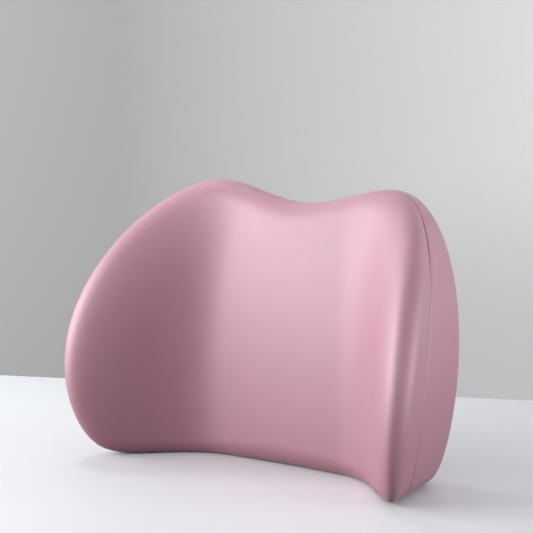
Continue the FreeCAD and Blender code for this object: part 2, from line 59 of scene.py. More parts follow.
MOULD_OUTLINE = [
    (0, 0.278), (0.1155, 0.297), (0.1735, 0.247), (0.195, 0.1115), (0.177, 0.0155), (0.1565, 0)
]
HUMP_HEIGHT = 0.297
SIDE_REACH = 0.195
HEART = np.array([0, 0.14])
PANEL_DEPTH = 0.049
FRONT_ROUND = 0.0225
BACK_ROUND = 0.021
WING = (0.087, 0.0995, 0.015)
HOLLOW = (-0.007, 0, -0.0195)
NOSE_REACH = 0.1835
NOSE_DRIFT = 0.0095
NOSE_HEIGHT = 0.0775
NOSE_SPAN = 0.1782
SLOPE_LENGTH = 0.121
SIDE_FLARE = 0.027
LEAN = math.radians(3.75)
SEAM_SHARE = 0.26
GRID = 72
CURVE_STEPS = 200
ROUND_STEPS = 7


def closed_curve(half):
    """Points close together on the smooth closed curve through a mirrored outline."""
    points = np.array(half + [(0, 0)] + [(-x, z) for x, z in half[:0:-1]])
    count = len(points)
    steps = np.sqrt(np.linalg.norm(np.roll(points, -1, 0) - points, axis=1))
    weights = np.zeros((count, count))
    slopes = np.zeros((count, 2))
    for i in range(count):
        after = (i + 1) % count
        weights[i, i - 1] = steps[i - 1]
        weights[i, i] = 2 * (steps[i - 1] + steps[i])
        weights[i, after] = steps[i]
        ahead = (points[after] - points[i]) / steps[i]
        slopes[i] = 6 * ahead - 6 * (points[i] - points[i - 1]) / steps[i - 1]
    bends = np.linalg.solve(weights, slopes)
    spans = []
    for i in range(count):
        after = (i + 1) % count
        step = steps[i]
        t = np.linspace(0, step, CURVE_STEPS, endpoint=False)[:, None]
        curved = (bends[i] * (step - t) ** 3 + bends[after] * t ** 3) / (6 * step)
        start = (points[i] / step - bends[i] * step / 6) * (step - t)
        spans.append(curved + start + (points[after] / step - bends[after] * step / 6) * t)
    return np.concatenate(spans + [spans[0][:1]])


CURVE = closed_curve(MOULD_OUTLINE)
CURVE_LENGTHS = np.concatenate([[0], np.cumsum(np.linalg.norm(np.diff(CURVE, axis=0), axis=1))])


def edge_at(turn):
    """Points of the outline, at shares of its length from the dip on top towards +X."""
    at = (turn % 1) * CURVE_LENGTHS[-1]
    return np.stack([np.interp(at, CURVE_LENGTHS, CURVE[:, k]) for k in (0, 1)], axis=1)


def inset(points, by, share=1.0):
    """Points of the outline drawn towards the form's heart."""
    away = np.linalg.norm(points - HEART, axis=1)[:, None]
    return HEART + (points - HEART) * (1 - by / away) * share


def through(values, z):
    """A parabola in height through its values at the foot, at mid height and at the humps."""
    t = z / HUMP_HEIGHT
    low, middle, top = values
    return low * (1 - t) * (1 - 2 * t) + 4 * middle * t * (1 - t) + top * t * (2 * t - 1)


def front_face(x, z):
    """Depth of the moulded front: the hollow in the middle and a wing at each side."""
    rise = np.maximum(0, z - NOSE_HEIGHT) / NOSE_SPAN
    inward = np.clip((NOSE_REACH - NOSE_DRIFT * rise * rise - np.abs(x)) / SLOPE_LENGTH, 0, 1)
    wing = (1 - inward) ** 3 * (1 + 3 * inward)
    return -wing * through(WING, z) - through(HOLLOW, z)


def softness(points):
    """How far the edge rounds can open where the form is thin."""
    return 1 - np.exp(-(PANEL_DEPTH - front_face(*points.T)) / (FRONT_ROUND + BACK_ROUND))


def placed(flat, y):
    """Points of the form, flared towards the front and leaned back."""
    forward = (PANEL_DEPTH - y) / (WING[1] + PANEL_DEPTH)
    lean = math.tan(LEAN) * (flat[:, 1] - HUMP_HEIGHT / 2)
    return np.stack([flat[:, 0] * (1 + SIDE_FLARE / SIDE_REACH * forward), y + lean, flat[:, 1]], axis=1)


def front_disc(turn, share):
    flat = inset(edge_at(turn), FRONT_ROUND, share)
    return placed(flat, front_face(*flat.T))


def front_turn(turn, angle):
    edge = edge_at(turn)
    flat = inset(edge, FRONT_ROUND * (1 - math.sin(angle)))
    return placed(flat, front_face(*flat.T) + FRONT_ROUND * softness(edge) * (1 - math.cos(angle)))


def side_wall(turn, share):
    edge = edge_at(turn)
    start = front_face(*edge.T) + FRONT_ROUND * softness(edge)
    end = PANEL_DEPTH - BACK_ROUND * softness(edge)
    return placed(edge, start + (end - start) * share)


def back_turn(turn, angle):
    edge = edge_at(turn)
    flat = inset(edge, BACK_ROUND * (1 - math.sin(angle)))
    return placed(flat, PANEL_DEPTH - BACK_ROUND * softness(edge) * (1 - math.cos(angle)))


def back_disc(turn, share):
    flat = inset(edge_at(turn), BACK_ROUND, share)
    return placed(flat, np.full(len(flat), PANEL_DEPTH))


def grow(bm, rim, place):
    """Extrude the rim of an open mesh once; rim maps each of its vertices to its turn."""
    edges = [edge for edge in bm.edges if edge.is_boundary and all(vert in rim for vert in edge.verts)]
    turns = {tuple(vert.co): turn for vert, turn in rim.items()}
    made = bmesh.ops.extrude_edge_only(bm, edges=edges)["geom"]
    rim = {item: turns[tuple(item.co)] for item in made if isinstance(item, bmesh.types.BMVert)}
    for vert, point in zip(rim, place(np.array(list(rim.values())))):
        vert.co = point
    return rim


def panel_mesh(disc, rings, outward):
    """A sheet of the form: a disc of even squares, grown ring by ring around its rim."""
    bm = bmesh.new()
    bmesh.ops.create_grid(bm, x_segments=GRID, y_segments=GRID, size=1)
    turns = {}
    shares = []
    for vert in bm.verts:
        across = vert.co.x * math.sqrt(1 - vert.co.y ** 2 / 2)
        upward = vert.co.y * math.sqrt(1 - vert.co.x ** 2 / 2)
        turns[vert] = math.atan2(across, upward) / math.tau % 1
        shares.append(math.hypot(across, upward))
    rim = {vert: turns[vert] for vert in bm.verts if vert.is_boundary}
    for vert, point in zip(turns, disc(np.array(list(turns.values())), np.array(shares)[:, None])):
        vert.co = point
    for place in rings:
        rim = grow(bm, rim, place)
    bm.normal_update()
    bm.faces.ensure_lookup_table()
    middle = min(bm.faces, key=lambda face: (face.calc_center_median().xz - Vector(HEART)).length)
    if middle.normal.y * outward < 0:
        bmesh.ops.reverse_faces(bm, faces=bm.faces)
    return bm


EDGE_ANGLES = [math.pi / 2 * i / ROUND_STEPS for i in range(ROUND_STEPS + 1)]
FRONT_RINGS = [lambda turn, a=angle: front_turn(turn, a) for angle in EDGE_ANGLES[1:]]
BACK_RINGS = [lambda turn, a=angle: back_turn(turn, a) for angle in EDGE_ANGLES[1:]]


# The form was centred along Y with its buckle, so its place is read off a patch on its flat back.
patch_points = [vert.co for vert in nodes["strap_patch_left"].data.vertices]
PANEL_FOOT = min(point.y - point.z * math.tan(LEAN) for point in patch_points)
FORM_SHIFT = PANEL_FOOT - PANEL_DEPTH + math.tan(LEAN) * HUMP_HEIGHT / 2


def settle(bm, inward):
    """Move a sheet to its place, a distance inside the form, with nothing below the floor."""
    bm.normal_update()
    moves = {vert: vert.normal * -inward for vert in bm.verts}
    for vert, move in moves.items():
        vert.co += move + Vector((0, FORM_SHIFT, 0))
        vert.co.z = max(vert.co.z, inward)


def whole_form(inward):
    """The closed form, a distance inside the cover's face."""
    bm = panel_mesh(front_disc, FRONT_RINGS + [lambda turn: side_wall(turn, SEAM_SHARE)], -1)
    back = panel_mesh(back_disc, BACK_RINGS + [lambda turn: side_wall(turn, SEAM_SHARE)], 1)
    half = bpy.data.meshes.new("half")
    back.to_mesh(half)
    back.free()
    bm.from_mesh(half)
    bpy.data.meshes.remove(half)
    bmesh.ops.remove_doubles(bm, verts=bm.verts, dist=1e-5)
    settle(bm, inward)
    return bm


def add(tree, kind, sockets=None, **settings):
    """A shader node; each socket is set to a value or linked to another node's output."""
    node = tree.nodes.new(kind)
    for name, value in settings.items():
        setattr(node, name, value)
    for name, value in (sockets or {}).items():
        if isinstance(value, bpy.types.NodeSocket):
            tree.links.new(value, node.inputs[name])
        else:
            node.inputs[name].default_value = value
    return node


def sums(tree, operation, *values):
    """The result of a Math node."""
    return add(tree, "ShaderNodeMath", dict(enumerate(values)), operation=operation).outputs[0]


def effect(name, takes, gives):
    """An empty node group; takes and gives map its sockets' names to their kinds."""
    tree = bpy.data.node_groups.new(name, "ShaderNodeTree")
    for way, sockets in (("INPUT", takes), ("OUTPUT", gives)):
        for socket, kind in sockets.items():
            tree.interface.new_socket(socket, in_out=way, socket_type="NodeSocket" + kind)
    return tree, tree.nodes.new("NodeGroupInput").outputs, tree.nodes.new("NodeGroupOutput").inputs


def placed_effect(tree, group, **sockets):
    """A node group placed in a material; spaces in its sockets' names are written as _."""
    node = tree.nodes.new("ShaderNodeGroup")
    node.node_tree = group
    for name, value in sockets.items():
        socket = node.inputs[name.replace("_", " ")]
        if isinstance(value, bpy.types.NodeSocket):
            tree.links.new(value, socket)
        else:
            socket.default_value = value
    return node.outputs


def finish_of(name, **constants):
    """A material, its node tree and its shader, with constants such as Sheen_Weight set."""
    material = bpy.data.materials.new(name)
    material.use_nodes = True
    shader = material.node_tree.nodes["Principled BSDF"]
    for socket, value in constants.items():
        shader.inputs[socket.replace("_", " ")].default_value = value
    return material, material.node_tree, shader


def bumped(tree, shader, height, distance, strength=1.0):
    """Feed a height to the shader's normal."""
    bump = add(tree, "ShaderNodeBump", {"Height": height, "Distance": distance, "Strength": strength})
    tree.links.new(bump.outputs[0], shader.inputs["Normal"])


def cloudy():
    """Slow uneven shade over a surface, as dye and light wear leave it."""
    sockets = {"Vector": "Vector", "Color": "Color", "Size": "Float", "Depth": "Float"}
    tree, takes, gives = effect("uneven_shade", sockets, {"Color": "Color"})
    scale = sums(tree, "DIVIDE", 1.0, takes["Size"])
    cloud = add(tree, "ShaderNodeTexNoise", {"Vector": takes["Vector"], "Scale": scale, "Detail": 3.0})
    swing = sums(tree, "MULTIPLY", sums(tree, "SUBTRACT", cloud.outputs[0], 0.5), takes["Depth"])
    shade = add(tree, "ShaderNodeVectorMath", {0: takes["Color"]}, operation="SCALE")
    tree.links.new(sums(tree, "ADD", 1.0, swing), shade.inputs["Scale"])
    tree.links.new(shade.outputs[0], gives["Color"])
    return tree


UNEVEN_SHADE = cloudy()


def shown(name, bm, material, body="cushion", smooth=True):
    """A finished mesh as a piece of the object that moves with a body."""
    mesh = bpy.data.meshes.new(name)
    bm.to_mesh(mesh)
    bm.free()
    if smooth:
        mesh.shade_smooth()
    mesh.materials.append(material)
    piece = bpy.data.objects.new(name, mesh)
    bpy.context.scene.collection.objects.link(piece)
    if body:
        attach(piece, body)
    return piece


def rounded(piece, levels=1):
    """Smooth a piece with subdivision."""
    smoothing = piece.modifiers.new("smooth", "SUBSURF")
    smoothing.levels = levels
    smoothing.render_levels = levels
    return piece


def foam():
    """Cream foam with open cells under a thin skin."""
    material, tree, shader = finish_of("foam_cells", Roughness=0.85, Sheen_Weight=0.15)
    place = add(tree, "ShaderNodeTexCoord").outputs["Object"]
    cream = (0.84, 0.78, 0.62, 1)
    color = placed_effect(tree, UNEVEN_SHADE, Vector=place, Color=cream, Size=0.05, Depth=0.22)
    tree.links.new(color["Color"], shader.inputs["Base Color"])
    cells = add(tree, "ShaderNodeTexVoronoi", {"Vector": place, "Scale": 900.0})
    bumped(tree, shader, cells.outputs["Distance"], 0.0004)
    return material


FOAM_INSIDE = 0.0047
core = rounded(shown("foam_block", whole_form(FOAM_INSIDE), foam()))
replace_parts(core, "foam_core")

# ---- Inner liner ----
# A thin sewn jersey bag that keeps the foam clean and lets the outer cover slide over it. It is closed
# for good along its side, and its fabric is undyed.

LINER_INSIDE = 0.0038
LINER_THICK = 0.0006


def jersey():
    """Undyed jersey with fine upright ribs."""
    material, tree, shader = finish_of("liner_jersey", Roughness=0.9, Sheen_Weight=0.2)
    place = add(tree, "ShaderNodeTexCoord").outputs["Object"]
    undyed = (0.82, 0.81, 0.78, 1)
    color = placed_effect(tree, UNEVEN_SHADE, Vector=place, Color=undyed, Size=0.08, Depth=0.12)
    tree.links.new(color["Color"], shader.inputs["Base Color"])
    ribs = add(tree, "ShaderNodeTexWave", {"Vector": place, "Scale": 260.0, "Distortion": 0.6})
    bumped(tree, shader, ribs.outputs["Fac"], 0.0002)
    return material


liner = shown("liner_bag", whole_form(LINER_INSIDE), jersey())
wall = liner.modifiers.new("wall", "SOLIDIFY")
wall.thickness = LINER_THICK
wall.offset = -1
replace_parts(liner, "inner_liner")

# ---- Outer cover ----
# Two panels of smooth stretch knit with a satin face, sewn together along the side behind the wings
# and turned right side out, so that the raw edges lie inside and the seam shows as a fine groove.

COVER_WALL = 0.0012
LIP_DEPTHS = (0.0007, 0.0022)
GROOVE_DEPTH = 0.0011
GROOVE_REACH = 0.0016
THIN_WALL_SHARE = 0.5
THIN_WALL_SPREAD = 20
SEAM_GAP = 0.00012
SHOULDER_TURNS = (0.155, 0.845)
SHOULDER_SPREAD = 0.018
SHOULDER_GAPE = 0.0007
BESIDE_SEAM = (0.012, 0.007, 0.004, 0.0025, 0.0016, 0.001, 0.0006, 0.0003, 0)
WALE = 0.0011
COURSE = 0.0009
UNROLL_STEPS = 64
SIDE_STRETCH = 0.5


def gape(turn):
    """How far the seam is pulled open at a turn: a little at each shoulder, where it is thinnest."""
    pull = sum(math.exp(-((turn - at) / SHOULDER_SPREAD) ** 2) for at in SHOULDER_TURNS)
    return SEAM_GAP + SHOULDER_GAPE * pull


def near_seam(away, side):
    """A ring of the wall at a distance from the seam, drawn in where the stitches pull the cloth."""

    def place(turn):
        seam = side_wall(turn, SEAM_SHARE)
        limit = side_wall(turn, 0.0 if side < 0 else 1.0)
        room = np.linalg.norm(limit - seam, axis=1)[:, None]
        opened = np.array([gape(t) for t in turn])[:, None]
        along = (limit - seam) / room
        thin = room * (THIN_WALL_SHARE + away * THIN_WALL_SPREAD)
        ring = seam + along * np.minimum(away + opened, thin)
        edge = edge_at(turn)
        inwards = HEART - edge
        inwards /= np.linalg.norm(inwards, axis=1)[:, None]
        drawn = GROOVE_DEPTH * math.exp(-away / GROOVE_REACH)
        ring[:, 0] += inwards[:, 0] * drawn
        ring[:, 2] += inwards[:, 1] * drawn
        return ring

    return place


def turned_in(depth, side):
    """A ring of the seam allowance, inside the seam."""
    at_seam = near_seam(0, side)

    def place(turn):
        ring = at_seam(turn)
        inwards = HEART - edge_at(turn)
        inwards /= np.linalg.norm(inwards, axis=1)[:, None]
        ring[:, 0] += inwards[:, 0] * depth
        ring[:, 2] += inwards[:, 1] * depth
        return ring

    return place


def cover_rings(first, side):
    """All rings of a cover panel after its disc."""
    rings = list(first)
    rings += [near_seam(away, side) for away in BESIDE_SEAM]
    rings += [turned_in(depth, side) for depth in LIP_DEPTHS]
    return rings


def unrolled(x, z):
    """Length along the cloth from the middle of the front out to x, at a height."""
    xs = np.linspace(0, 1, UNROLL_STEPS + 1)[:, None] * x
    depths = front_face(xs, z)
    spans = np.hypot(np.diff(xs, axis=0), np.diff(depths, axis=0))
    return np.sign(x) * spans.sum(axis=0)


def lay_knit(bm, flat_x):
    """A UV map in metres of cloth, so that the knit's wales run up the cover at their real size."""
    layer = bm.loops.layers.uv.new("cloth")
    verts = list(bm.verts)
    points = np.array([vert.co for vert in verts])
    flat = points[:, [0, 2]]
    lengths = flat_x(*flat.T)
    bm.verts.index_update()
    for face in bm.faces:
        for loop in face.loops:
            spot = loop.vert.index
            loop[layer].uv = (lengths[spot], points[spot, 2] + points[spot, 1] * SIDE_STRETCH)


def knit_effect():
    """Rows of small interlocked V loops, as a height."""
    tree, takes, gives = effect(
        "knit_loops", {"Vector": "Vector", "Wale": "Float", "Course": "Float"}, {"Height": "Float"}
    )
    split = add(tree, "ShaderNodeSeparateXYZ", {0: takes["Vector"]})
    wale = sums(tree, "FRACT", sums(tree, "DIVIDE", split.outputs[0], takes["Wale"]))
    leg = sums(tree, "ABSOLUTE", sums(tree, "SUBTRACT", wale, 0.5))
    row = sums(tree, "ADD", sums(tree, "DIVIDE", split.outputs[1], takes["Course"]), leg)
    loop = sums(tree, "SINE", sums(tree, "MULTIPLY", row, math.tau))
    off_middle = sums(tree, "MULTIPLY_ADD", leg, 4.0, -1.0)
    body = sums(tree, "SUBTRACT", 1.0, sums(tree, "POWER", off_middle, 2.0))
    stitch = sums(tree, "MULTIPLY_ADD", loop, 0.3, 0.7)
    tree.links.new(sums(tree, "MULTIPLY", body, stitch), gives["Height"])
    return tree


KNIT_LOOPS = knit_effect()


def cover_knit():
    """Dusty pink stretch knit with a satin face."""
    material, tree, shader = finish_of(
        "cover_knit", Roughness=0.55, IOR=2.35, Sheen_Weight=0.3, Sheen_Roughness=0.5,
        Sheen_Tint=(1.0, 0.95, 0.97, 1),
    )
    coordinates = add(tree, "ShaderNodeTexCoord")
    pink = (0.51, 0.195, 0.27, 1)
    color = placed_effect(
        tree, UNEVEN_SHADE, Vector=coordinates.outputs["Object"], Color=pink, Size=0.06, Depth=0.08
    )
    tree.links.new(color["Color"], shader.inputs["Base Color"])
    loops = placed_effect(tree, KNIT_LOOPS, Vector=coordinates.outputs["UV"], Wale=WALE, Course=COURSE)
    bumped(tree, shader, loops["Height"], 0.00012, 0.5)
    return material


COVER_KNIT = cover_knit()


# The back panel is flat and leans; what lies on it is placed along it, out of it and up it.
PANEL = Matrix.Translation((0, PANEL_FOOT, 0)) @ Matrix.Rotation(-LEAN, 4, "X")


def lying(node):
    """Lowest and highest corner of a CAD node upright on the panel: along it, out of it and up it."""
    upright = PANEL.inverted()
    points = np.array([upright @ vert.co for vert in nodes[node].data.vertices])
    return Vector(points.min(axis=0)), Vector(points.max(axis=0))


SLOT_REACH = lying("zip_tape_upper")[1].x
ZIP_UP = (lying("zip_coil_upper")[0].z + lying("zip_coil_lower")[1].z) / 2
SLOT_HALF = 0.0046
SLOT_LOW, SLOT_HIGH = ZIP_UP - SLOT_HALF, ZIP_UP + SLOT_HALF
SLOT_LIP = ((0.0003, 0.0003), (0.0002, 0.0007), (0.0, 0.0012))
SLOT_RIM = 0.001
NEAR = 1e-5


def cut_slot(bm):
    """Open the back panel for the zip and turn the slot's edges in."""
    bmesh.ops.transform(bm, matrix=PANEL.inverted(), verts=bm.verts)
    around = GRID * 1e-4

    def by_slot(point, room):
        beside = abs(point.x) < SLOT_REACH + room and abs(point.z - ZIP_UP) < SLOT_HALF + room
        return beside and abs(point.y) < 10 * NEAR

    cuts = [((side * SLOT_REACH, 0, 0), (1, 0, 0)) for side in (-1, 1)]
    cuts += [((0, 0, up), (0, 0, 1)) for up in (SLOT_LOW, SLOT_HIGH)]
    for place, way in cuts:
        faces = [face for face in bm.faces if by_slot(face.calc_center_median(), around)]
        edges = {edge for face in faces for edge in face.edges}
        verts = {vert for face in faces for vert in face.verts}
        bmesh.ops.bisect_plane(
            bm, geom=faces + list(edges) + list(verts), plane_co=place, plane_no=way, dist=NEAR
        )
    hole = [face for face in bm.faces if by_slot(face.calc_center_median(), -NEAR)]
    bmesh.ops.delete(bm, geom=hole, context="FACES")
    rim = [edge for edge in bm.edges if edge.is_boundary and all(by_slot(v.co, NEAR) for v in edge.verts)]
    for toward, depth in SLOT_LIP:
        made = bmesh.ops.extrude_edge_only(bm, edges=rim)["geom"]
        for vert in [item for item in made if isinstance(item, bmesh.types.BMVert)]:
            if abs(vert.co.z - ZIP_UP) > SLOT_HALF - SLOT_RIM:
                vert.co.z -= math.copysign(toward, vert.co.z - ZIP_UP)
            if abs(vert.co.x) > SLOT_REACH - SLOT_RIM:
                vert.co.x -= math.copysign(toward, vert.co.x)
            vert.co.y -= depth
        rim = [item for item in made if isinstance(item, bmesh.types.BMEdge) and item.is_boundary]
    bmesh.ops.transform(bm, matrix=PANEL, verts=bm.verts)


def cover_panel(name, bm, node):
    """Settle a cover panel, give it its wall and round it."""
    settle(bm, 0)
    if name == "back_panel":
        cut_slot(bm)
    lay_knit(bm, lambda x, z: unrolled(x, z) if name == "front_panel" else x)
    bmesh.ops.recalc_face_normals(bm, faces=bm.faces)
    bmesh.ops.solidify(bm, geom=bm.faces[:], thickness=COVER_WALL)
    for vert in bm.verts:
        vert.co.z = max(vert.co.z, 0)
    piece = shown(name, bm, COVER_KNIT)
    rounded(piece)
    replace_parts(piece, node)


cover_panel("front_panel", panel_mesh(front_disc, cover_rings(FRONT_RINGS, -1), -1), "front_cover")
cover_panel("back_panel", panel_mesh(back_disc, cover_rings(BACK_RINGS, 1), 1), "back_cover")

# ---- Zip ----
# A nylon coil zip sewn behind a slot in the back panel, so that the cover comes off for washing. Two
# woven tapes carry the coils, a crimp ends each row, and an enamelled slider with a flat tab runs on
# them.


def on_panel(name, bm, material, body="cushion", smooth=True):
    """A mesh drawn upright, laid on the leaning panel."""
    bmesh.ops.transform(bm, matrix=PANEL, verts=bm.verts)
    return shown(name, bm, material, body, smooth)


def weave_effect():
    """Ribs with cross threads between them, for tape and webbing."""
    tree, takes, gives = effect(
        "woven_ribs", {"Vector": "Vector", "Rib": "Float", "Pick": "Float"}, {"Height": "Float"}
    )
    split = add(tree, "ShaderNodeSeparateXYZ", {0: takes["Vector"]})
    rib = sums(tree, "MULTIPLY", sums(tree, "DIVIDE", split.outputs[2], takes["Rib"]), math.pi)
    pick = sums(tree, "MULTIPLY", sums(tree, "DIVIDE", split.outputs[0], takes["Pick"]), math.pi)
    crown = sums(tree, "ABSOLUTE", sums(tree, "SINE", rib))
    cross = sums(tree, "ABSOLUTE", sums(tree, "SINE", sums(tree, "ADD", pick, rib)))
    yarn = sums(tree, "MULTIPLY_ADD", cross, 0.45, 0.55)
    tree.links.new(sums(tree, "MULTIPLY", crown, yarn), gives["Height"])
    return tree


WOVEN_RIBS = weave_effect()


def woven(name, color, rib, pick, depth):
    """Polyester yarn woven into a narrow band; painted shade darkens the hollows between the ribs."""
    material, tree, shader = finish_of(name, Roughness=0.7, Sheen_Weight=0.3)
    place = add(tree, "ShaderNodeTexCoord").outputs["Object"]
    ribs = placed_effect(tree, WOVEN_RIBS, Vector=place, Rib=rib, Pick=pick)
    shade = placed_effect(tree, UNEVEN_SHADE, Vector=place, Color=color, Size=0.02, Depth=0.16)
    # Painted shade: the colour is scaled down in the hollows between the ribs, where shade falls.
    painted_rib_shade = add(tree, "ShaderNodeVectorMath", {0: shade["Color"]}, operation="SCALE")
    tree.links.new(sums(tree, "MULTIPLY_ADD", ribs["Height"], 0.4, 0.68), painted_rib_shade.inputs["Scale"])
    tree.links.new(painted_rib_shade.outputs[0], shader.inputs["Base Color"])
    bumped(tree, shader, ribs["Height"], depth)
    return material


def coated(name, color, roughness, speckle):
    """Moulded or enamelled surface with a fine grain and lighter raised edges."""
    material, tree, shader = finish_of(name)
    place = add(tree, "ShaderNodeTexCoord").outputs["Object"]
    shade = placed_effect(tree, UNEVEN_SHADE, Vector=place, Color=color, Size=0.008, Depth=0.14)
    # The colour is mixed towards a pale pink on raised edges.
    edge = add(tree, "ShaderNodeNewGeometry").outputs["Pointiness"]
    raised = {"Value": edge, "From Min": 0.52, "From Max": 0.62, "To Max": 0.35}
    edge_lightening = add(tree, "ShaderNodeMapRange", raised)
    pale = (0.86, 0.72, 0.75, 1)
    mixed = add(tree, "ShaderNodeMix", {0: edge_lightening.outputs[0], 6: shade["Color"], 7: pale}, data_type="RGBA")
    tree.links.new(mixed.outputs[2], shader.inputs["Base Color"])
    grain = add(tree, "ShaderNodeTexNoise", {"Vector": place, "Scale": speckle, "Detail": 2.0})
    rough = add(tree, "ShaderNodeMapRange", {"Value": grain.outputs[0]})
    rough.inputs["To Min"].default_value = roughness - 0.08
    rough.inputs["To Max"].default_value = roughness + 0.1
    tree.links.new(rough.outputs[0], shader.inputs["Roughness"])
    bumped(tree, shader, grain.outputs[0], 0.00004)
    return material


ZIP_TAPE = woven("zip_tape_weave", (0.40, 0.17, 0.23, 1), 0.0007, 0.0006, 0.0001)
ZIP_ENAMEL = coated("zip_enamel", (0.47, 0.22, 0.29, 1), 0.3, 2500.0)
ZIP_NYLON = coated("zip_nylon", (0.46, 0.20, 0.27, 1), 0.35, 3000.0)
for node in ("zip_tape_upper", "zip_tape_lower"):
    nodes[node].data.materials.clear()
    nodes[node].data.materials.append(ZIP_TAPE)
for node in ("zip_slider", "zip_pull", "zip_top_stop_upper", "zip_top_stop_lower", "zip_bottom_stop"):
    nodes[node].data.materials.clear()
    nodes[node].data.materials.append(ZIP_ENAMEL)

COIL_PITCH = 0.0015
COIL_WIRE = 0.00052
HEAD_OVERLAP = 0.0005
HEAD_WIDTH = 1.35
HEAD_LENGTH = 1.5


def coil_row(node, side):
    """One row of nylon turns: each runs from the tape to the zip's middle and ends in a round head."""
    low, high = lying(node)
    turns = int((high.x - low.x) / COIL_PITCH)
    middle_out = (low.y + high.y) / 2
    inner, outer = (low.z, high.z) if side > 0 else (high.z, low.z)
    head = inner - side * HEAD_OVERLAP
    bm = bmesh.new()
    arm = Matrix.Diagonal((COIL_WIRE, (high.y - low.y) / 2, abs(outer - head) / 2, 1))
    knob = Matrix.Diagonal((COIL_WIRE * HEAD_WIDTH, (high.y - low.y) / 2, COIL_WIRE * HEAD_LENGTH, 1))
    first = low.x + COIL_PITCH * (0.5 if side > 0 else 1.0)
    at_arm = Matrix.Translation((first, middle_out, (outer + head) / 2))
    at_head = Matrix.Translation((first, middle_out, head + side * COIL_WIRE))
    bmesh.ops.create_uvsphere(bm, u_segments=8, v_segments=5, radius=1, matrix=at_arm @ arm)
    bmesh.ops.create_uvsphere(bm, u_segments=8, v_segments=5, radius=1, matrix=at_head @ knob)
    turn = list(bm.verts) + list(bm.edges) + list(bm.faces)
    for number in range(1, turns - 1):
        copied = bmesh.ops.duplicate(bm, geom=turn)["geom"]
        verts = [item for item in copied if isinstance(item, bmesh.types.BMVert)]
        bmesh.ops.translate(bm, verts=verts, vec=(number * COIL_PITCH, 0, 0))
    core = Matrix.Translation(((low.x + high.x) / 2, middle_out, (inner + outer) / 2 + side * COIL_WIRE))
    along = Matrix.Rotation(math.pi / 2, 4, "Y")
    bmesh.ops.create_cone(
        bm, cap_ends=True, segments=10, radius1=COIL_WIRE, radius2=COIL_WIRE, depth=high.x - low.x,
        matrix=core @ along,
    )
    piece = on_panel(node.replace("coil", "turns"), bm, ZIP_NYLON)
    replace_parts(piece, node)


coil_row("zip_coil_upper", 1)
coil_row("zip_coil_lower", -1)

STITCH_PITCH = 0.003
STITCH_LENGTH = 0.0023
THREAD_RADIUS = 0.00024


def sewing_thread():
    """Twisted polyester thread, a shade lighter than the cover."""
    material, tree, shader = finish_of("sewing_thread", Roughness=0.45, Sheen_Weight=0.4)
    place = add(tree, "ShaderNodeTexCoord").outputs["Object"]
    rose = (0.72, 0.42, 0.49, 1)
    shade = placed_effect(tree, UNEVEN_SHADE, Vector=place, Color=rose, Size=0.004, Depth=0.3)
    tree.links.new(shade["Color"], shader.inputs["Base Color"])
    twist = add(tree, "ShaderNodeTexWave", {"Vector": place, "Scale": 900.0}, bands_direction="DIAGONAL")
    bumped(tree, shader, twist.outputs["Fac"], 0.00006)
    return material


THREAD = sewing_thread()


def stitch_line(bm, start, end):
    """Lockstitches in a straight line between two places on the panel."""
    start, end = Vector(start), Vector(end)
    run = end - start
    count = max(1, round(run.length / STITCH_PITCH))
    turned = run.to_track_quat("Z", "Y").to_matrix().to_4x4()
    shape = turned @ Matrix.Diagonal((THREAD_RADIUS, THREAD_RADIUS, STITCH_LENGTH / 2, 1))
    for number in range(count):
        middle = Matrix.Translation(start + run * ((number + 0.5) / count))
        bmesh.ops.create_uvsphere(bm, u_segments=6, v_segments=5, radius=1, matrix=middle @ shape)


def stitched_box(bm, low, high, out):
    """Four stitch lines round a rectangle."""
    flat = [(low[0], low[1]), (high[0], low[1]), (high[0], high[1]), (low[0], high[1])]
    corners = [(along, out, up) for along, up in flat]
    for start, end in zip(corners, corners[1:] + corners[:1]):
        stitch_line(bm, start, end)


TOPSTITCH_BESIDE = 0.0026
TOPSTITCH_OUT = 0.0001
bm = bmesh.new()
stitched_box(
    bm, (-SLOT_REACH - TOPSTITCH_BESIDE, SLOT_LOW - TOPSTITCH_BESIDE),
    (SLOT_REACH + TOPSTITCH_BESIDE, SLOT_HIGH + TOPSTITCH_BESIDE), TOPSTITCH_OUT,
)
on_panel("zip_topstitch", bm, THREAD)

# ---- Chair strap ----
# 25 mm elastic webbing that goes round the chair's back. Each end is sewn to a patch of cover cloth
# with a box and a cross; the left end runs through a slide and round the socket's bar, so it can be
# shortened, and the right end is sewn round the plug's bar.

PATCH_CUTS = 9
PATCH_SEWN_AT = 0.8
PATCH_SEWN_SPREAD = 0.08
PATCH_SEWN_DROP = 0.12
PATCH_EDGE_DROP = 0.45
PATCH_HEM_INSET = 0.1
PATCH_HEM_DROP = 0.2


